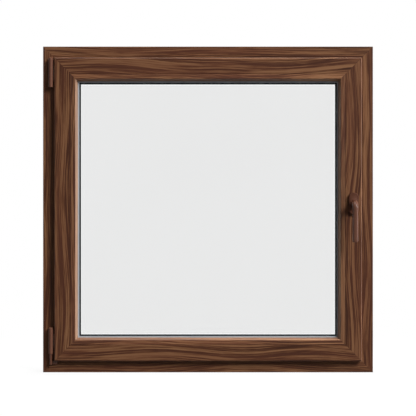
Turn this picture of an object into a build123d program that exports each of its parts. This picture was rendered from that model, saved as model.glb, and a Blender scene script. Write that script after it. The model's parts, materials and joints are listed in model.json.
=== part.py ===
"""Single-sash tilt-and-turn window of hollow plastic profile, double glazed, with a lever handle.

X runs to the right as seen from the room, Y runs from the room to the outside, Z is up. The origin
is on the underside of the sill, at the middle of the width and of the frame's depth.

Every profile is drawn once, as a section: u is the distance inwards from the window's outer edge,
and y is the depth. A bar is that section run along one side and cut at 45 degrees at both ends.
"""
import os

from build123d import *

# Whole window
window_width = 1040.0
window_height = 1027.0

# Frame profile
frame_depth = 70.0
frame_seat = 45.0
frame_lip_height = 20.0
frame_lip_thickness = 18.0
floor_fall = 2.0
frame_edge_radius = 1.2
frame_lip_radius = 4.0
anchor_groove_width = 8.0
anchor_groove_depth = 3.0
anchor_groove_spacing = 32.0
frame_chambers = 4

# Sash profile
sash_overlap = 8.0
sash_face = 52.0
lap_thickness = 16.0
glazing_rebate = 23.5
upstand_thickness = 18.0
upstand_flat = 6.0
upstand_bevel = 6.0
sash_edge_radius = 4.0
seam_radius = 1.5
corner_radius = 1.0
sash_chambers = 4

# Gaps between frame and sash, and the groove for the lock rod
hardware_gap = 12.0
gasket_gap = 4.0
hardware_axis = 13.0
rod_plate_width = 16.0
rod_plate_depth = 3.0
rod_groove_width = 12.0
rod_groove_depth = 9.0

# Walls of every hollow profile
outer_wall = 2.8
inner_web = 1.4

# Gaskets: a root pressed into a slot, and a bulb that closes the gap
slot_width = 3.0
slot_depth = 3.2
gasket_width = 5.0
gasket_inset = 2.0
gasket_radius = 1.5
glazing_gasket_cover = 8.0
glazing_root_inset = 6.0
inner_gasket_proud = 5.0
outer_gasket_proud = 4.5

# Glazing bead
bead_face = 14.5
bead_height = 21.5
bead_edge_radius = 2.5
bead_wall = 1.8
bead_foot_width = 3.0
bead_foot_length = 5.0
bead_foot_setback = 9.0
bead_foot_clearance = 0.2

# Double glazing
pane_thickness = 4.0
cavity = 16.0
glazing_gap = 4.0
packer_height = 5.0
packer_length = 100.0
packer_inset = 120.0
edge_seal_height = 6.0
spacer_height = 7.5

# Handle
handle_backset = 26.5
handle_height = 532.0
rosette_width = 31.0
rosette_height = 68.0
rosette_thickness = 10.0
rosette_corner = 14.0
rosette_bevel = 2.5
boss_radius = 13.5
boss_height = 2.0
neck_radius = 9.5
neck_clearance = 0.3
lever_standoff = 50.0
lever_bend = 15.0
lever_drop = 120.0
lever_half_width = 8.5
lever_half_thickness = 6.6
lever_side_radius = 5.0
lever_flare = 0.6
lever_end_bevel = 1.5
spindle_side = 7.0
spindle_length = 34.0
spindle_clearance = 1.0

# Hinges
hinge_radius = 7.0
hinge_gap = 4.0
hinge_standoff = 13.0
hinge_end_bevel = 1.5
cap_line_width = 0.8
cap_line_depth = 0.6
top_cap_height = 15.0
bottom_cap_height = 24.0
cover_wall = 1.2
cover_clearance = 0.3
leaf_width = 6.0
leaf_height = 40.0
leaf_setback = 4.5
top_cover_height = 92.0
bottom_cover_height = 82.0
bottom_cover_base = 59.5
barrel_frame_gap = 1.0
pivot_radius = 4.0
pivot_base_width = 24.0
pivot_base_height = 10.0
pivot_base_depth = 7.0
pivot_base_corner = 3.0
pivot_base_gap = 1.0
pivot_pin_radius = 2.5
pivot_pin_length = 24.0
pivot_pin_clearance = 0.1

# Drainage of the sill
drain_slot_length = 28.0
drain_slot_height = 5.0
drain_level = 14.0
drain_inset = 220.0
drain_cap_margin = 5.0
drain_cap_depth = 4.0
drain_cap_wall = 1.2
drain_cap_brow = 5.0
drain_cap_radius = 2.0

# Levels across the section: inwards from the outer edge
lip_tip = frame_seat + frame_lip_height
sash_edge = frame_seat - sash_overlap
sash_heel = frame_seat + hardware_gap
bead_seat = sash_edge + sash_face
sash_tip = bead_seat + glazing_rebate
bead_tip = bead_seat + bead_height
pane_edge = bead_seat + packer_height
spacer_edge = pane_edge + edge_seal_height

# Levels through the depth: from the room to the outside
frame_in = -frame_depth / 2
frame_out = frame_depth / 2
lip_in = frame_out - frame_lip_thickness
lap_back = frame_in - gasket_gap
sash_in = lap_back - lap_thickness
sash_out = lip_in - gasket_gap
upstand_in = sash_out - upstand_thickness
glass_out = upstand_in - glazing_gap
cavity_out = glass_out - pane_thickness
cavity_in = cavity_out - cavity
glass_in = cavity_in - pane_thickness
bead_back = glass_in - glazing_gap
rod_axis = lap_back + hardware_axis
bead_foot_axis = sash_in + bead_foot_setback

handle_x = window_width / 2 - sash_edge - handle_backset
hinge_x = -window_width / 2 + sash_edge - hinge_gap - hinge_radius
hinge_y = frame_in - hinge_standoff


def outline(corners):
    """A closed outline from corners given as (u, y, rounding)."""
    points = [(u, y) for u, y, _ in corners]
    return make_face(FilletPolyline(*points, radius=[r for _, _, r in corners], close=True))


def block(u0, u1, y0, y1):
    """A plain rectangle of the section between two levels each way."""
    return Pos((u0 + u1) / 2, (y0 + y1) / 2) * Rectangle(u1 - u0, y1 - y0)


def chambers(u0, u1, y0, y1, count):
    """Equal hollow chambers across the depth, parted by thin webs."""
    pitch = (y1 - y0 + inner_web) / count
    starts = [y0 + pitch * i for i in range(count)]
    return [block(u0, u1, y, y + pitch - inner_web) for y in starts]


def gasket_slot(u, face, into):
    """The slot for a gasket's root, cut from a face towards the material."""
    deep = face + into * slot_depth
    return block(u - slot_width / 2, u + slot_width / 2, min(face, deep), max(face, deep))


def frame_section():
    """L-shaped frame profile: room-side body, sloped rebate floor and outside lip."""
    profile = outline([
        (0, frame_in, frame_edge_radius),
        (frame_seat, frame_in, corner_radius),
        (frame_seat - floor_fall, lip_in, 0),
        (lip_tip, lip_in, corner_radius),
        (lip_tip, frame_out, frame_lip_radius),
        (0, frame_out, frame_edge_radius),
    ])
    for side in (-1, 1):
        centre = side * anchor_groove_spacing / 2
        half = anchor_groove_width / 2
        profile -= block(0, anchor_groove_depth, centre - half, centre + half)
    profile -= gasket_slot(frame_gasket_u, lip_in, 1)
    body_floor = anchor_groove_depth + outer_wall
    body_top = frame_seat - floor_fall - outer_wall
    for hollow in chambers(body_floor, body_top, frame_in + outer_wall, frame_out - outer_wall,
                           frame_chambers):
        profile -= hollow
    lip_floor = body_top + inner_web
    profile -= block(lip_floor, lip_tip - outer_wall, lip_in + slot_depth + outer_wall,
                     frame_out - outer_wall)
    return profile


def sash_section():
    """Z-shaped sash profile: lap over the frame, hardware groove, glazing rebate and upstand."""
    profile = outline([
        (sash_edge, sash_in, sash_edge_radius),
        (bead_seat, sash_in, seam_radius),
        (bead_seat, upstand_in, 0),
        (sash_tip, upstand_in, corner_radius),
        (sash_tip, upstand_in + upstand_flat, corner_radius),
        (sash_tip - upstand_bevel, sash_out, sash_edge_radius),
        (sash_heel, sash_out, corner_radius),
        (sash_heel, lap_back, 0),
        (sash_edge, lap_back, corner_radius),
    ])
    for width, depth in ((rod_plate_width, rod_plate_depth), (rod_groove_width, rod_groove_depth)):
        profile -= block(sash_heel, sash_heel + depth, rod_axis - width / 2, rod_axis + width / 2)
    foot_half = bead_foot_width / 2 + bead_foot_clearance
    profile -= block(bead_seat - bead_foot_length - bead_foot_clearance, bead_seat,
                     bead_foot_axis - foot_half, bead_foot_axis + foot_half)
    profile -= gasket_slot(sash_gasket_u, lap_back, -1)
    profile -= gasket_slot(sash_tip - glazing_root_inset, upstand_in, 1)
    core_floor = sash_heel + rod_groove_depth + outer_wall
    core_top = bead_seat - bead_foot_length - bead_foot_clearance - outer_wall
    for hollow in chambers(core_floor, core_top, sash_in + outer_wall, sash_out - outer_wall,
                           sash_chambers):
        profile -= hollow
    profile -= block(sash_edge + outer_wall, core_floor - inner_web, sash_in + outer_wall,
                     lap_back - slot_depth - outer_wall)
    profile -= block(core_top + inner_web, sash_tip - upstand_bevel - outer_wall,
                     upstand_in + slot_depth + outer_wall, sash_out - outer_wall)
    return profile


def bead_section():
    """Hollow glazing bead: flat face, sloped side to the glass and a foot that clips in the sash."""
    profile = outline([
        (bead_seat, sash_in, seam_radius),
        (bead_seat + bead_face, sash_in, bead_edge_radius),
        (bead_tip, bead_back, corner_radius),
        (bead_seat, bead_back, 0),
    ])
    foot_half = bead_foot_width / 2
    profile += block(bead_seat - bead_foot_length, bead_seat + bead_wall,
                     bead_foot_axis - foot_half, bead_foot_axis + foot_half)
    profile -= gasket_slot(bead_tip - glazing_root_inset, bead_back, -1)
    profile -= block(bead_seat + bead_wall, bead_seat + bead_face - bead_wall,
                     sash_in + bead_wall, bead_back - slot_depth - bead_wall)
    return profile


def frame_gasket(root, face, towards):
    """Rubber seal between frame and sash: root in its slot, and a bulb with rounded shoulders."""
    far = face + towards * gasket_gap
    bulb = outline([
        (root - gasket_width / 2, face, 0),
        (root + gasket_width / 2, face, 0),
        (root + gasket_width / 2, far, gasket_radius),
        (root - gasket_width / 2, far, gasket_radius),
    ])
    return bulb + gasket_slot(root, face, -towards)


def glazing_gasket(tip, proud, face, towards):
    """Rubber wedge between a bead or upstand and the glass, with a round nose past its tip."""
    far = face + towards * glazing_gap
    wedge = outline([
        (tip - glazing_gasket_cover, face, 0),
        (tip + proud, face, gasket_radius),
        (tip + proud, far, gasket_radius),
        (tip - glazing_gasket_cover, far, 0),
    ])
    return wedge + gasket_slot(tip - glazing_root_inset, face, -towards)


# Where each gasket sits, measured inwards to the middle of its bulb
frame_gasket_u = lip_tip - gasket_inset - gasket_width / 2
sash_gasket_u = sash_edge + gasket_inset + gasket_width / 2

# Each side of the window: where its section starts, which way is inwards, how long the side is
half_width = window_width / 2
sides = {
    "bottom": (Plane((half_width, 0, 0), x_dir=(0, 0, 1), z_dir=(-1, 0, 0)), window_width),
    "left": (Plane((-half_width, 0, 0), x_dir=(1, 0, 0), z_dir=(0, 0, 1)), window_height),
    "top": (Plane((-half_width, 0, window_height), x_dir=(0, 0, -1), z_dir=(1, 0, 0)), window_width),
    "right": (Plane((half_width, 0, window_height), x_dir=(-1, 0, 0), z_dir=(0, 0, -1)), window_height),
}


def bar(section, side):
    """The section run along one side of the window and mitred at both ends."""
    place, length = sides[side]
    whole = extrude(section, amount=length)
    start = Plane((0, 0, 0), z_dir=(1, 0, -1))
    end = Plane((0, 0, length), z_dir=(1, 0, 1))
    cut = split(split(whole, start, Keep.BOTTOM), end, Keep.BOTTOM)
    return place.location * cut


def ring(section):
    """The section run right round the window as one piece."""
    bars = [bar(section, side) for side in sides]
    return bars[0].fuse(*bars[1:]).clean()


def drain_places():
    """Middles of the drain slots along the sill."""
    return [side * (half_width - drain_inset) for side in (-1, 1)]


def frame_sill(section):
    """Bottom frame bar with drain slots through its outside wall."""
    sill = bar(section, "bottom")
    for x in drain_places():
        slot = Plane((x, frame_out, drain_level), x_dir=(1, 0, 0), z_dir=(0, -1, 0))
        sill -= extrude(slot * SlotOverall(drain_slot_length, drain_slot_height), amount=outer_wall * 2)
    return sill


def drain_caps():
    """Moulded hoods over the drain slots, sloped on top and open underneath."""
    half = drain_slot_height / 2 + drain_cap_margin
    hood = outline([
        (0, -half, 0),
        (drain_cap_depth, -half, 0),
        (drain_cap_depth, half - drain_cap_brow, drain_cap_radius),
        (0, half, 0),
    ])
    mouth = block(0, drain_cap_depth - drain_cap_wall, -half, drain_slot_height / 2)
    caps = []
    for x in drain_places():
        start = (x - drain_slot_length / 2, frame_out, drain_level)
        slot_end = Plane(start, x_dir=(0, 1, 0), z_dir=(1, 0, 0))
        cap_end = slot_end.offset(-drain_cap_margin)
        cap = extrude(cap_end * hood, amount=drain_slot_length + 2 * drain_cap_margin)
        caps.append(cap - extrude(slot_end * mouth, amount=drain_slot_length))
    return Compound(children=caps)


def pane(outer_face):
    """One sheet of glass, given the level of its face towards the outside."""
    width = window_width - 2 * pane_edge
    height = window_height - 2 * pane_edge
    middle = outer_face - pane_thickness / 2
    return Pos(0, middle, window_height / 2) * Box(width, pane_thickness, height)


def setting_blocks():
    """Two packers on the bottom rail that carry the glass."""
    blocks = []
    for side in (-1, 1):
        x = side * (half_width - pane_edge - packer_inset)
        place = Pos(x, (glass_in + glass_out) / 2, bead_seat + packer_height / 2)
        blocks.append(place * Box(packer_length, glass_out - glass_in, packer_height))
    return Compound(children=blocks)


def handle_place():
    """The handle's axis on the face of the handle stile."""
    return Pos(handle_x, sash_in, handle_height)


def handle_stile(section):
    """Right-hand sash bar with a round hole for the handle's spindle."""
    hole_radius = spindle_side / 2 ** 0.5 + spindle_clearance
    hole = extrude(Plane.XZ * Circle(hole_radius), amount=-(spindle_length + spindle_clearance))
    return bar(section, "right") - handle_place() * hole


def handle_rosette():
    """Oblong base with a round boss, bored for the lever's neck."""
    plate = extrude(Plane.XZ * RectangleRounded(rosette_width, rosette_height, rosette_corner),
                    amount=rosette_thickness)
    plate = chamfer(plate.faces().sort_by(Axis.Y)[0].edges(), rosette_bevel)
    top = rosette_thickness + boss_height
    plate += extrude(Plane.XZ * Circle(boss_radius), amount=top)
    plate -= extrude(Plane.XZ * Circle(neck_radius + neck_clearance), amount=top)
    return handle_place() * plate


def oval(across, through, side_radius):
    """Oval of four arcs that run into each other, from its half sizes: broad front, tight sides."""
    reach = across - side_radius
    front_radius = (reach ** 2 + through ** 2 - side_radius ** 2) / (2 * (through - side_radius))
    share = 1 / (front_radius - side_radius)
    x = reach * front_radius * share
    y = (front_radius - through) * side_radius * share
    return make_face([
        ThreePointArc((-x, y), (0, through), (x, y)),
        ThreePointArc((x, y), (across, 0), (x, -y)),
        ThreePointArc((x, -y), (0, -through), (-x, -y)),
        ThreePointArc((-x, -y), (-across, 0), (-x, y)),
    ])


def handle_lever():
    """Round neck, bent through a quarter turn into an oval grip that widens to its end."""
    bend_start = lever_standoff - lever_bend
    section = oval(lever_half_width, lever_half_thickness, lever_side_radius)
    neck_base = Plane.XZ.offset(neck_clearance)
    neck = extrude(neck_base * Circle(neck_radius), amount=bend_start - neck_clearance)
    bend_axis = Axis((0, -bend_start, -lever_bend), (1, 0, 0))
    bend = revolve(Plane.XZ.offset(bend_start) * section, bend_axis, 90)
    grip_top = Plane((0, -lever_standoff, -lever_bend), x_dir=(1, 0, 0), z_dir=(0, 0, -1))
    grip = extrude(grip_top * section, amount=lever_drop - lever_bend, taper=-lever_flare)
    grip = chamfer(grip.faces().sort_by(Axis.Z)[0].edges(), lever_end_bevel)
    return handle_place() * (neck + bend + grip)


def handle_spindle():
    """Square bar from the neck into the lock."""
    bar_plane = Plane.XZ.offset(neck_clearance)
    spindle = extrude(bar_plane * Rectangle(spindle_side, spindle_side), amount=-spindle_length)
    return handle_place() * spindle


def hinge_block(radius, base, height, back):
    """Upright block with a round front: its back is at a level, its axis is the hinge's."""
    face = Circle(radius) + block(-radius, radius, 0, back - hinge_y)
    return Pos(hinge_x, hinge_y, base) * extrude(face, amount=height)


def hinge_cover(base, height, back, cap_height):
    """Thin cover on a hinge block, bevelled on top, with a line where its end cap is pushed on."""
    cover = hinge_block(hinge_radius, base, height, back)
    rim = cover.faces().sort_by(Axis.Z)[-1].edges().filter_by(GeomType.CIRCLE)
    cover = chamfer(rim, hinge_end_bevel)
    line_base = base + height - cap_height
    line = hinge_block(hinge_radius, line_base, cap_line_width, back)
    cover -= line - hinge_block(hinge_radius - cap_line_depth, line_base, cap_line_width, back)
    room = hinge_block(hinge_radius - cover_wall, base + cover_wall, height - 2 * cover_wall, back)
    return cover - room


def hinge_core(base, height, back):
    """The metal block inside a cap."""
    inset = cover_wall + cover_clearance
    return hinge_block(hinge_radius - inset, base + inset, height - 2 * inset, back)


def hinge_leaf(middle):
    """Plate from the flat side of a hinge to the edge of the sash, set back behind the hinge's axis."""
    place = Pos(hinge_x + hinge_radius + hinge_gap / 2, hinge_y + leaf_setback, middle)
    return place * Box(hinge_gap, leaf_width, leaf_height)


def bottom_bracket():
    """Foot on the frame under the corner of the sash, with an upright post and pivot pin."""
    foot_top = sash_edge - pivot_base_gap
    foot_base = foot_top - pivot_base_height
    post_top = bottom_cover_base - barrel_frame_gap
    foot_x = hinge_x - pivot_radius + pivot_base_width / 2
    seat = Plane((foot_x, frame_in, foot_top - pivot_base_height / 2), x_dir=(1, 0, 0), z_dir=(0, -1, 0))
    foot_face = RectangleRounded(pivot_base_width, pivot_base_height, pivot_base_corner)
    foot = extrude(seat * foot_face, amount=pivot_base_depth)
    post = hinge_block(pivot_radius, foot_base, post_top - foot_base, frame_in)
    pin = Cylinder(pivot_pin_radius, pivot_pin_length, align=(Align.CENTER, Align.CENTER, Align.MIN))
    return foot + post + Pos(hinge_x, hinge_y, post_top) * pin


def bottom_bore(radius):
    """The room that the pivot pin needs, up from the top of the bottom bracket."""
    height = pivot_pin_length + pivot_pin_clearance
    bore = Cylinder(radius, height, align=(Align.CENTER, Align.CENTER, Align.MIN))
    return Pos(hinge_x, hinge_y, bottom_cover_base - barrel_frame_gap) * bore


def hinges():
    """Every piece of the two hinges, by name."""
    top_base = window_height - sash_edge - top_cover_height
    barrel_back = frame_in - barrel_frame_gap
    bore = bottom_bore(pivot_pin_radius + pivot_pin_clearance)
    bottom_cover = hinge_cover(bottom_cover_base, bottom_cover_height, barrel_back, bottom_cap_height)
    return {
        "top_hinge_bracket": hinge_core(top_base, top_cover_height, frame_in),
        "top_hinge_cover": hinge_cover(top_base, top_cover_height, frame_in, top_cap_height),
        "top_hinge_leaf": hinge_leaf(top_base + top_cover_height / 2),
        "bottom_hinge_bracket": bottom_bracket(),
        "bottom_hinge_barrel": hinge_core(bottom_cover_base, bottom_cover_height, barrel_back) - bore,
        "bottom_hinge_cover": bottom_cover - bore,
        "bottom_hinge_leaf": hinge_leaf(bottom_cover_base + bottom_cover_height / 2),
    }


def window():
    """Every piece of the window, by name."""
    frame = frame_section()
    sash = sash_section()
    bead = bead_section()
    spacer = block(spacer_edge, spacer_edge + spacer_height, cavity_in, cavity_out)
    edge_seal = block(pane_edge, spacer_edge, cavity_in, cavity_out)
    pieces = {
        "frame_sill": frame_sill(frame),
        "frame_hinge_jamb": bar(frame, "left"),
        "frame_head": bar(frame, "top"),
        "frame_lock_jamb": bar(frame, "right"),
        "sash_bottom_rail": bar(sash, "bottom"),
        "sash_hinge_stile": bar(sash, "left"),
        "sash_top_rail": bar(sash, "top"),
        "sash_handle_stile": handle_stile(sash),
        "bead_bottom": bar(bead, "bottom"),
        "bead_hinge_side": bar(bead, "left"),
        "bead_top": bar(bead, "top"),
        "bead_handle_side": bar(bead, "right"),
        "lap_gasket": ring(frame_gasket(sash_gasket_u, lap_back, 1)),
        "lip_gasket": ring(frame_gasket(frame_gasket_u, lip_in, -1)),
        "inner_glazing_gasket": ring(glazing_gasket(bead_tip, inner_gasket_proud, bead_back, 1)),
        "outer_glazing_gasket": ring(glazing_gasket(sash_tip, outer_gasket_proud, upstand_in, -1)),
        "outer_pane": pane(glass_out),
        "inner_pane": pane(cavity_in),
        "glass_spacer": ring(spacer),
        "glass_edge_seal": ring(edge_seal),
        "setting_blocks": setting_blocks(),
        "handle_rosette": handle_rosette(),
        "handle_lever": handle_lever(),
        "handle_spindle": handle_spindle(),
        "drain_caps": drain_caps(),
    }
    return pieces | hinges()


os.makedirs("parts", exist_ok=True)
for name, piece in window().items():
    export_step(piece, f"parts/{name}.step")
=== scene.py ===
import json
import math

import bpy
import numpy as np
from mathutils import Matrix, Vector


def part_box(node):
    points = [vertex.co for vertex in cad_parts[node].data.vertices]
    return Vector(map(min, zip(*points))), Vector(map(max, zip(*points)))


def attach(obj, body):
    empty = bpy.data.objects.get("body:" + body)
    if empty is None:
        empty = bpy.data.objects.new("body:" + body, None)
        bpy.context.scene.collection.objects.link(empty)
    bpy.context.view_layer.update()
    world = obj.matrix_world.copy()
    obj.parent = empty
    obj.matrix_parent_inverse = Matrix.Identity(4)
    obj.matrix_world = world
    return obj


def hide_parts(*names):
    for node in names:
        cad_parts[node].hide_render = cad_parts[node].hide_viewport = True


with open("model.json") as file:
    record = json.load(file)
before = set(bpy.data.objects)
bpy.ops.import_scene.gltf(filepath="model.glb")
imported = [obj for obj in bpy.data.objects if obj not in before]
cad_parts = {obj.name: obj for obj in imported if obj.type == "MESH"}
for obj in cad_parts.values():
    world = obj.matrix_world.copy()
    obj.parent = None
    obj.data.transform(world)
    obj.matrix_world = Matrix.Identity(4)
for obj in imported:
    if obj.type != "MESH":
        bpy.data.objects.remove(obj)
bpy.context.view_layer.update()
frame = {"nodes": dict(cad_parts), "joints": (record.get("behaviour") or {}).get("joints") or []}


# The outer frame: four hollow plastic bars, extruded, wrapped in an embossed walnut foil, sawn at 45
# degrees and welded. The side that goes to the wall, with its anchor grooves, stays bare brown plastic.
class Wire:
    """A shader socket: sums, products and comparisons of wires and numbers add Math nodes."""

    def __init__(self, socket):
        self.socket = socket

    def add(self, kind, settings, sockets, *outputs):
        """Adds a node from its type, settings and sockets' values or wires, and gives its outputs."""
        tree = self.socket.id_data
        node = tree.nodes.new("ShaderNode" + kind)
        for name, value in settings.items():
            if name == "stops":
                for stop in value[2:]:
                    node.color_ramp.elements.new(stop[0])
                for element, (place, colour) in zip(node.color_ramp.elements, value):
                    element.position = place
                    element.color = (*colour, 1)
            else:
                setattr(node, name, value)
        for name, value in sockets.items():
            if isinstance(value, Wire):
                tree.links.new(value.socket, node.inputs[name])
            else:
                node.inputs[name].default_value = value
        wires = [Wire(node.outputs[name]) for name in outputs]
        return wires[0] if len(wires) == 1 else wires

    def maths(self, operation, first, second=0.0):
        return self.add("Math", {"operation": operation}, {0: first, 1: second}, 0)

    def __add__(self, other):
        return self.maths("ADD", self, other)

    def __sub__(self, other):
        return self.maths("SUBTRACT", self, other)

    def __rsub__(self, other):
        return self.maths("SUBTRACT", other, self)

    def __mul__(self, other):
        return self.maths("MULTIPLY", self, other)

    def __truediv__(self, other):
        return self.maths("DIVIDE", self, other)

    def __lt__(self, other):
        return self.maths("LESS_THAN", self, other)

    def __gt__(self, other):
        return self.maths("GREATER_THAN", self, other)

    def __abs__(self):
        return self.maths("ABSOLUTE", self)

    __radd__ = __add__
    __rmul__ = __mul__


def new_finish(name):
    """A new material with an empty tree, and a wire that carries the Object coordinates."""
    material = bpy.data.materials.new(name)
    material.use_nodes = True
    material.node_tree.nodes.clear()
    return material, Wire(material.node_tree.nodes.new("ShaderNodeTexCoord").outputs["Object"])


def close_finish(point, sockets):
    """Ends a material in one Principled shader with these values and wires on its sockets."""
    surface = point.add("BsdfPrincipled", {}, sockets, 0)
    point.add("OutputMaterial", {}, {"Surface": surface})


def dress(material, *nodes):
    """Puts a material on CAD nodes, in place of the plain one that they come with."""
    for node in nodes:
        frame["nodes"][node].material_slots[0].material = material


def mix(mask, first, second):
    """The first colour where the mask is 0 and the second where it is 1."""
    return mask.add("Mix", {"data_type": "RGBA"}, {0: mask, 6: first, 7: second}, 2)


def noise(point, scale, detail):
    """Soft noise round 0.5, with this many patches to a metre and this much fine detail."""
    return point.add("TexNoise", {}, {"Vector": point, "Scale": scale, "Detail": detail}, 0)


def grain(along, across, seed, size, detail=2.0):
    """Noise drawn out along a bar, in patches of about this length and width."""
    length, width = size
    spot = along.add("CombineXYZ", {}, {"X": along / length, "Y": across / width, "Z": seed}, 0)
    return noise(spot, 1.0, detail)


half_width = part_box("frame_head")[1].x
window_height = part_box("frame_head")[1].z


def insets(x, z):
    """How far in from the window's outline a place lies, from its nearer side and from its nearer rail."""
    return half_width - abs(x), window_height / 2 - abs(z - window_height / 2)


def walnut_foil(name, lengthwise, seed, brightness=1.0, gloss=0.12, bare_edge=None, slope_highlight=None,
                rim_highlight=None):
    """Walnut print on plastic: dark and golden streaks drawn out along the bar in long, slow waves.

    Bands, lines, rings and pores, each a noise of its own size and offset from the seed, are summed into
    one tone, which picks the colour, and the finest are pressed into the surface too. A fine line marks
    the mitres. Outside the bare edge, an inset, there is no foil. The foil is painted paler as a painted
    highlight: on a slope, given by its inset and its share, and on a rim, by its inset and depth.
    """
    dark, brown, golden = (0.040, 0.0135, 0.0062), (0.111, 0.0435, 0.0190), (0.224, 0.107, 0.050)
    red, red_share = (0.110, 0.036, 0.019, 1), 0.5
    # The colour that painted highlights mix in, on slopes and on rims.
    highlight_colour, rim_highlight_share = (0.85, 0.56, 0.40, 1), 0.06
    seam_colour, seam_share, seam_half_width = (0.045, 0.020, 0.013, 1), 0.6, 0.0005
    plastic_colour, plastic_roughness = (0.085, 0.043, 0.026, 1), 0.3
    groove_depth, groove_edges = 0.0032, (0.0119, 0.0201)
    wave_size, wave_height = (0.42, 0.25), 0.072 if lengthwise == "X" else 0.050
    wobble_size, wobble_height = (0.07, 0.02), 0.002
    band_size, line_size, ring_size = (0.45, 0.0115), (0.22, 0.0028), (0.42, 0.030)
    pore_size, patch_size = (0.032, 0.0012), (0.50, 0.024)
    ring_turns, patch_contrast, patch_loss = 46.0, 2.4, 0.75
    band_weight, line_weight, ring_weight, pore_weight, middle_tone = 1.8, 2.9, 0.08, 0.7, 0.5
    pore_relief, line_relief, seam_relief = 0.6, 0.4, 0.5
    foil_roughness, pore_roughness = 0.38, 0.25
    material, point = new_finish(name)
    x, y, z = point.add("SeparateXYZ", {}, {0: point}, "X", "Y", "Z")
    along, across = (x, z + y) if lengthwise == "X" else (z, x + y)
    waved = across + (grain(along, across, seed + 3.1, wave_size, 0.0) - 0.5) * wave_height
    waved = waved + (grain(along, across, seed + 5.3, wobble_size) - 0.5) * wobble_height
    bands = grain(along, waved, seed, band_size)
    lines = grain(along, waved, seed + 11.7, line_size)
    growth = grain(along, waved, seed + 17.1, ring_size, 1.0)
    rings = growth.maths("SINE", growth * ring_turns)
    pores = grain(along, waved, seed + 23.9, pore_size, 1.0)
    tone = (bands - 0.5) * band_weight + (lines - 0.5) * line_weight + rings * ring_weight
    tone = tone + (pores - 0.5) * pore_weight + middle_tone
    wood = tone.add("ValToRGB", {"stops": [(0.22, dark), (0.50, brown), (0.90, golden)]}, {"Fac": tone}, 0)
    patches = grain(along, waved, seed + 37.3, patch_size) * patch_contrast - patch_loss
    wood = mix(patches.add("Clamp", {}, {"Value": patches}, 0) * red_share, wood, red)
    wood = wood.add("Mix", {"data_type": "RGBA", "blend_type": "MULTIPLY"},
                    {0: 1.0, 6: wood, 7: (brightness, brightness, brightness, 1)}, 2)
    side_inset, rail_inset = insets(x, z)
    inset = rail_inset if lengthwise == "X" else side_inset
    # Painted highlight: past the slope's inset the foil is mixed towards the highlight colour.
    if slope_highlight:
        slope_inset, slope_highlight_share = slope_highlight
        wood = mix((inset > slope_inset) * slope_highlight_share, wood, highlight_colour)
    # Painted highlight: near the front, inside the rim's inset, the foil is mixed towards the highlight
    # colour.
    if rim_highlight:
        rim_inset, rim_depth = rim_highlight
        wood = mix((inset < rim_inset) * (y < rim_depth) * rim_highlight_share, wood, highlight_colour)
    seam = abs(side_inset - rail_inset) < seam_half_width
    colour = mix(seam * seam_share, wood, seam_colour)
    roughness = pores * pore_roughness + foil_roughness
    height = pores * pore_relief + lines * line_relief - seam * seam_relief
    if bare_edge:
        depth = abs(y)
        groove = (inset < groove_depth) * (depth > groove_edges[0]) * (depth < groove_edges[1])
        bare = groove.maths("MAXIMUM", inset < bare_edge, groove)
        colour = mix(bare, colour, plastic_colour)
        roughness = roughness + bare * plastic_roughness
    bump = point.add("Bump", {}, {"Strength": 0.35, "Distance": 0.0003, "Height": height}, 0)
    close_finish(point, {"Base Color": colour, "Roughness": roughness, "Normal": bump,
                         "Specular IOR Level": gloss})
    return material


foil_edge = 0.0008
dress(walnut_foil("frame_foil_level", "X", 3.1, bare_edge=foil_edge), "frame_sill", "frame_head")
dress(walnut_foil("frame_foil_upright", "Z", 83.9, bare_edge=foil_edge),
      "frame_hinge_jamb", "frame_lock_jamb")


# The sash: four deeper bars of the same foiled plastic, mitred and welded, that lap over the frame
# towards the room. Their rounded front edge carries a painted highlight: the foil is painted paler there.
sash_rim_highlight = (0.0390, -0.0520)
dress(walnut_foil("sash_foil_level", "X", 15.9, rim_highlight=sash_rim_highlight), "sash_bottom_rail", "sash_top_rail")
dress(walnut_foil("sash_foil_upright", "Z", 19.7, rim_highlight=sash_rim_highlight),
      "sash_hinge_stile", "sash_handle_stile")


# The glazing beads: slim foiled bars, mitred and clipped into the sash, that press the glass against
# its outside gasket. Their slope beside the glass has a painted highlight; the level beads are painted
# brighter.
slope_inset, bead_gloss = 0.1037, 0.18
# Painted light: the level beads are the foil painted 1.38 times brighter, and the slopes get a painted
# highlight, more on the upright beads.
dress(walnut_foil("bead_foil_level", "X", 29.3, brightness=1.38, gloss=bead_gloss,
                  slope_highlight=(slope_inset, 0.11)), "bead_bottom", "bead_top")
dress(walnut_foil("bead_foil_upright", "Z", 31.9, gloss=bead_gloss, slope_highlight=(slope_inset, 0.26)),
      "bead_hinge_side", "bead_handle_side")


# The gaskets: extruded rubber, pressed by its root into a slot. The one under the beads is grey with a
# dark lip on the glass, and those against the frame and outside the glass are black.
def rubber(name, colour, dusty_colour, lip_inset=None):
    """Matt rubber: clouds of fine dust over an even colour, and a close grain that dulls the gloss.

    Past the lip's inset, counted in from the window's outline, the rubber is nearly black.
    """
    lip_colour = (0.022, 0.028, 0.034, 1)
    material, point = new_finish(name)
    dust = noise(point, 38.0, 4.0)
    speckle = noise(point, 1400.0, 1.0)
    bump = point.add("Bump", {}, {"Strength": 0.2, "Distance": 0.0002, "Height": speckle}, 0)
    shade = mix(dust * 0.6 + speckle * 0.2, colour, dusty_colour)
    if lip_inset:
        side_inset, rail_inset = insets(*point.add("SeparateXYZ", {}, {0: point}, "X", "Z"))
        inset = side_inset.maths("MINIMUM", side_inset, rail_inset)
        shade = mix(inset > lip_inset, shade, lip_colour)
    close_finish(point, {"Base Color": shade, "Roughness": dust * 0.25 + 0.5, "Normal": bump,
                         "Specular IOR Level": 0.2})
    return material


dress(rubber("grey_gasket", (0.34, 0.375, 0.405, 1), (0.50, 0.54, 0.575, 1), lip_inset=0.1143),
      "inner_glazing_gasket")
dress(rubber("black_gasket", (0.006, 0.007, 0.010, 1), (0.028, 0.030, 0.036, 1)),
      "outer_glazing_gasket", "lap_gasket", "lip_gasket")
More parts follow.
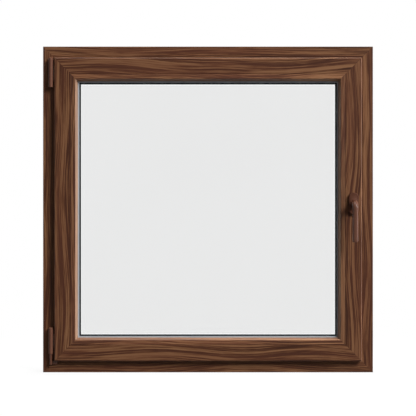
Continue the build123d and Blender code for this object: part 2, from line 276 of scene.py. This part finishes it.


# The glazing unit: two panes of float glass on a spacer bar, sealed round the edge and carried on two
# plastic packers. The glass is faintly tinted, and a clearer border beside the spacer is a painted highlight.
def coated_glass(name):
    """Glass that lets light straight through, tinted inside a clearer border that is a painted highlight,
    with a mirror of its surface.
    """
    bright_border, bright_border_colour, coated_colour = 0.027, (0.985, 0.99, 0.988, 1), (0.945, 0.946, 0.946, 1)
    mirror_share = 0.15
    pane_inset = half_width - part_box(name)[1].x
    material, point = new_finish(name + "_glass")
    side_inset, rail_inset = insets(*point.add("SeparateXYZ", {}, {0: point}, "X", "Z"))
    inset = side_inset.maths("MINIMUM", side_inset, rail_inset)
    # Painted highlight: the tint stops at the bright border, so the glass is clearer along its edge.
    coating = (inset > pane_inset + bright_border) * (1 - noise(point, 2.2, 1.0) * 0.15)
    bare = point.add("BsdfTransparent", {}, {"Color": bright_border_colour}, 0)
    coated = point.add("BsdfTransparent", {}, {"Color": coated_colour}, 0)
    clear = point.add("MixShader", {}, {0: coating, 1: bare, 2: coated}, 0)
    mirror = point.add("BsdfGlossy", {}, {"Roughness": 0.0, "Color": (1, 1, 1, 1)}, 0)
    gloss = point.add("Fresnel", {}, {"IOR": 1.5}, 0) * mirror_share
    surface = point.add("MixShader", {}, {0: gloss, 1: clear, 2: mirror}, 0)
    point.add("OutputMaterial", {}, {"Surface": surface})
    return material


for pane in ("outer_pane", "inner_pane"):
    dress(coated_glass(pane), pane)


def spacer_metal(name):
    """Dark anodized strip: a satin gloss with fine brighter flecks."""
    material, point = new_finish(name)
    flecks = noise(point, 260.0, 2.0)
    close_finish(point, {"Base Color": mix(flecks, (0.010, 0.012, 0.018, 1), (0.030, 0.034, 0.044, 1)),
                         "Roughness": flecks * 0.2 + 0.35, "Metallic": 0.3})
    return material


dress(spacer_metal("spacer_metal"), "glass_spacer")
dress(rubber("edge_sealant", (0.010, 0.010, 0.011, 1), (0.030, 0.030, 0.032, 1)), "glass_edge_seal")
dress(rubber("packer_plastic", (0.035, 0.075, 0.17, 1), (0.06, 0.11, 0.22, 1)), "setting_blocks")


# The handle: a die-cast lever on an oblong base, both powder coated brown, with a square steel spindle
# that runs through the base into the lock.
def brown_coat(name, colour, worn_colour, roughness, gloss=0.16):
    """Baked powder coat: a soft orange-peel surface, with the colour a little uneven."""
    material, point = new_finish(name)
    patches = noise(point, 55.0, 3.0)
    peel = noise(point, 900.0, 1.0)
    bump = point.add("Bump", {}, {"Strength": 0.12, "Distance": 0.0002, "Height": peel}, 0)
    close_finish(point, {"Base Color": mix(patches, colour, worn_colour),
                         "Roughness": patches * 0.12 + roughness, "Normal": bump,
                         "Specular IOR Level": gloss})
    return material


def skin(name, rings, looped):
    """A closed surface over rings of points, given as one array.

    Quads join each ring to the next. The last ring is joined to the first where the rings run round in
    a loop, and elsewhere a flat face closes both ends.
    """
    count, around = rings.shape[:2]
    index = np.arange(count * around).reshape(count, around)
    here = index if looped else index[:-1]
    after = np.roll(index, -1, axis=0)[:len(here)]
    quads = np.stack([here, np.roll(here, -1, axis=1), np.roll(after, -1, axis=1), after], axis=-1)
    faces = quads.reshape(-1, 4).tolist()
    if not looped:
        faces += [index[0, ::-1].tolist(), index[-1].tolist()]
    mesh = bpy.data.meshes.new(name)
    mesh.from_pydata(rings.reshape(-1, 3), [], faces)
    mesh.shade_smooth()
    piece = bpy.data.objects.new(name, mesh)
    bpy.context.scene.collection.objects.link(piece)
    return piece


def smooth_step(value):
    """0 before 0, 1 after 1, and an even S between them."""
    value = np.clip(value, 0.0, 1.0)
    return value * value * (3.0 - 2.0 * value)


handle_axis = np.array(frame["joints"][0]["pos_m"])


def lever_surface():
    """A round neck that comes out of the base, bends down a quarter turn and becomes an oval grip.

    Each ring is a superellipse across the path. Its half sizes go from the neck's to the grip's along an
    S curve, then widen evenly to the end, where a quarter round closes them in.
    """
    neck_start, neck_radius, standoff, bend = 0.0003, 0.0095, 0.050, 0.015
    drop, grip_sizes, end_sizes, end_round = 0.120, (0.0081, 0.0068), (0.0088, 0.0078), 0.0028
    change_length, squareness, sides = 0.038, 0.18, 48
    neck = np.linspace(neck_start, standoff - bend, 8)
    turn = np.linspace(0, math.pi / 2, 20)[1:-1]
    grip = np.linspace(bend, drop - end_round, 30)
    close = np.linspace(0, math.pi / 2, 9)[1:]
    angle = np.concatenate([neck * 0, turn, grip * 0 + math.pi / 2, close * 0 + math.pi / 2])
    out = np.concatenate([neck, standoff - bend + bend * np.sin(turn), grip * 0 + standoff,
                          close * 0 + standoff])
    down = np.concatenate([neck * 0, bend - bend * np.cos(turn), grip,
                           drop - end_round * (1 - np.sin(close))])
    travel = np.concatenate([neck * 0, turn * bend, grip + bend * (math.pi / 2 - 1), close * 0 + drop])
    share = smooth_step(travel / change_length)
    flare = np.clip((down - bend) / (drop - bend), 0, 1)
    closing = np.concatenate([neck * 0, turn * 0, grip * 0, end_round * (1 - np.cos(close))])
    halves = [neck_radius + (start - neck_radius) * share + (end - start) * flare - closing
              for start, end in zip(grip_sizes, end_sizes)]
    around = np.linspace(0, 2 * math.pi, sides, endpoint=False)
    power = 1 - squareness * share[:, None]
    side = np.sign(np.cos(around)) * np.abs(np.cos(around)) ** power * halves[0][:, None]
    face = np.sign(np.sin(around)) * np.abs(np.sin(around)) ** power * halves[1][:, None]
    y = -out[:, None] - face * np.sin(angle)[:, None]
    z = -down[:, None] + face * np.cos(angle)[:, None]
    return np.stack([side, y, z], axis=-1) + handle_axis


def rosette_surface():
    """An oblong base with a round boss in its middle, bored for the neck.

    Each ring lies at one height and follows the base's outline, a rectangle with round corners, or a
    circle. The rings go up the side, over a rounded edge, in to the boss, over it and down the bore.
    """
    half_sizes, corner, thickness, edge_round = (0.0150, 0.034), 0.014, 0.010, 0.0020
    boss_radius, boss_height, boss_round, boss_foot = 0.0121, 0.0022, 0.0010, 0.0006
    bore, bore_edge = 0.0098, 0.0003
    flat_rim, sides = 0.0006, 96
    around = np.linspace(0, 2 * math.pi, sides, endpoint=False) + math.pi / sides
    spokes = np.stack([np.cos(around), np.sin(around)], axis=-1)
    arc = np.linspace(0, math.pi / 2, 9)
    inset = np.concatenate([[0], edge_round * (1 - np.cos(arc)), [edge_round + flat_rim]])
    edge_levels = np.concatenate([[0], thickness - edge_round * (1 - np.sin(arc)), [thickness]])
    corners = np.sign(spokes) * (np.array(half_sizes) - corner)
    outline = corners + spokes * (corner - inset)[:, None, None]
    boss_arc = np.linspace(0, math.pi / 2, 5)
    top = thickness + boss_height
    radius = np.concatenate([[boss_radius + boss_foot, boss_radius],
                             boss_radius - boss_round * (1 - np.cos(boss_arc)),
                             [bore + bore_edge, bore, bore]])
    boss_levels = np.concatenate([[thickness, thickness + boss_foot],
                                  top - boss_round * (1 - np.sin(boss_arc)), [top, top - bore_edge, 0]])
    flat = np.concatenate([outline, spokes * radius[:, None, None]])
    levels = np.concatenate([edge_levels, boss_levels])
    height = np.broadcast_to(levels[:, None], flat.shape[:2])
    return np.stack([flat[..., 0], -height, flat[..., 1]], axis=-1) + handle_axis


lever_coat = brown_coat("handle_coat", (0.076, 0.0245, 0.0112, 1), (0.099, 0.0345, 0.017, 1), 0.33, 0.27)
base_coat = brown_coat("handle_base_coat", (0.076, 0.029, 0.017, 1), (0.098, 0.039, 0.024, 1), 0.42, 0.05)
for name, rings, looped, body, finish in (("lever", lever_surface(), False, "handle", lever_coat),
                                          ("rosette", rosette_surface(), True, "window", base_coat)):
    piece = skin("smooth_" + name, rings, looped)
    piece.data.materials.append(finish)
    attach(piece, body)
    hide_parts("handle_" + name)


def zinc(name):
    """Zinc-plated steel: a bright grey with cloudy crystals."""
    material, point = new_finish(name)
    clouds = noise(point, 120.0, 4.0)
    close_finish(point, {"Base Color": mix(clouds, (0.30, 0.30, 0.29, 1), (0.46, 0.46, 0.44, 1)),
                         "Roughness": clouds * 0.25 + 0.28, "Metallic": 0.9})
    return material


steel = zinc("zinc_plate")
dress(steel, "handle_spindle")


# The hinges: steel blocks on the frame and on the edge of the sash under moulded brown covers. The
# lower one turns on a post that stands on a foot screwed to the frame.
cap_coat = brown_coat("hinge_cover_plastic", (0.105, 0.041, 0.024, 1), (0.140, 0.058, 0.034, 1), 0.40)
dress(cap_coat, "top_hinge_cover", "bottom_hinge_cover")
dress(lever_coat, "bottom_hinge_bracket", "top_hinge_leaf", "bottom_hinge_leaf")
dress(steel, "top_hinge_bracket", "bottom_hinge_barrel")


# The drain caps: two small hoods of moulded brown plastic, clipped over the drain slots outside the
# sill so that the wind can't blow into them.
dress(cap_coat, "drain_caps")


# The stage: a plain pale floor and white surroundings, soft lamps from the upper right of the room, and
# a camera straight in front.
reach, floor_level = 12.0, -0.0005
floor_mesh = bpy.data.meshes.new("floor")
floor_corners = [(x * reach, y * reach, floor_level) for x, y in ((-1, -1), (1, -1), (1, 1), (-1, 1))]
floor_mesh.from_pydata(floor_corners, [], [(0, 1, 2, 3)])
floor = bpy.data.objects.new("floor", floor_mesh)
bpy.context.scene.collection.objects.link(floor)


def seen_directly(wire):
    """1 for rays from the camera and for those that mirrors and glass send on, 0 for the rest."""
    path = wire.add("LightPath", {}, {}, "Is Camera Ray", "Is Glossy Ray", "Is Transmission Ray")
    total = path[0] + path[1] + path[2]
    return total.add("Clamp", {}, {"Value": total}, 0)


floor_finish, floor_point = new_finish("floor_paper")
shadow_edge, white_edge, least_white = 0.3, 1.4, 0.90
floor_seen = seen_directly(floor_point)
fibres = mix(noise(floor_point, 60.0, 3.0), (0.76, 0.76, 0.76, 1), (0.80, 0.80, 0.80, 1))
paper = floor_point.add("BsdfPrincipled", {}, {"Base Color": mix(floor_seen, (0.08, 0.08, 0.08, 1), fibres),
                                               "Roughness": 1.0, "Specular IOR Level": 0.0}, 0)
glow = floor_point.add("Emission", {}, {"Color": (1, 1, 1, 1), "Strength": 1.0}, 0)
floor_distance = floor_point.add("VectorMath", {"operation": "LENGTH"}, {0: floor_point}, 1)
fade = floor_point.add("MapRange", {"interpolation_type": "SMOOTHSTEP"},
                       {"Value": floor_distance, 1: shadow_edge, 2: white_edge, 3: least_white, 4: 1.0}, 0)
floor_surface = floor_point.add("MixShader", {}, {0: floor_seen * fade, 1: paper, 2: glow}, 0)
floor_point.add("OutputMaterial", {}, {"Surface": floor_surface})
floor_mesh.materials.append(floor_finish)

world = bpy.data.worlds.new("studio")
world.use_nodes = True
bpy.context.scene.world = world
world.node_tree.nodes.clear()
front_light, back_light, back_heading = 0.005, 0.65, 0.35
world_point = Wire(world.node_tree.nodes.new("ShaderNodeTexCoord").outputs["Generated"])
heading = world_point.add("SeparateXYZ", {}, {0: world_point}, "Y")
sky_light = world_point.add("MapRange", {"interpolation_type": "SMOOTHSTEP"},
                            {"Value": heading, 1: 0.0, 2: back_heading, 3: front_light, 4: back_light}, 0)
world_seen = seen_directly(world_point)
strength = world_seen + (1 - world_seen) * sky_light
backdrop = world_point.add("Background", {}, {"Color": (1, 1, 1, 1), "Strength": strength}, 0)
world_point.add("OutputWorld", {}, {"Surface": backdrop})


def lamp(name, direction, distance, size, power):
    """A square soft lamp that shines at the middle of the window from this direction."""
    light = bpy.data.lights.new(name, "AREA")
    light.size = size
    light.energy = power
    stand = bpy.data.objects.new(name, light)
    towards = np.array(direction) / np.linalg.norm(direction)
    stand.location = np.array((0, 0, window_height / 2)) + towards * distance
    stand.rotation_euler = (math.acos(towards[2]), 0, math.atan2(towards[0], -towards[1]))
    bpy.context.scene.collection.objects.link(stand)
    return stand


lamp("key_lamp", (1.0, -1.0, 0.94), 18.0, 7.0, 4050)
side = lamp("side_lamp", (1.0, -0.10, 0.16), 4.5, 1.2, 80)
top = lamp("top_lamp", (0.05, 0.0, 1.0), 4.5, 1.4, 140)
side_rim = lamp("side_rim_lamp", (1.0, 0.16, 0.0), 3.0, 0.8, 40)
top_rim = lamp("top_rim_lamp", (0.0, 0.16, 1.0), 3.0, 0.8, 60)
for hidden in (side, top, side_rim, top_rim):
    hidden.visible_camera = False
    hidden.visible_transmission = False
for glossless in (side_rim, top_rim):
    glossless.visible_glossy = False

camera_data = bpy.data.cameras.new("camera")
camera = bpy.data.objects.new("camera", camera_data)
camera_distance, camera_rise, picture_width = 4.0, 0.0045, 1.3115
camera_data.sensor_width = 36.0
camera_data.lens = camera_data.sensor_width * camera_distance / picture_width
room_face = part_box("frame_head")[0].y
camera.location = (0, room_face - camera_distance, window_height / 2 + camera_rise)
camera.rotation_euler = (math.pi / 2, 0, 0)
bpy.context.scene.collection.objects.link(camera)
bpy.context.scene.camera = camera
bpy.context.scene.view_settings.view_transform = "Standard"
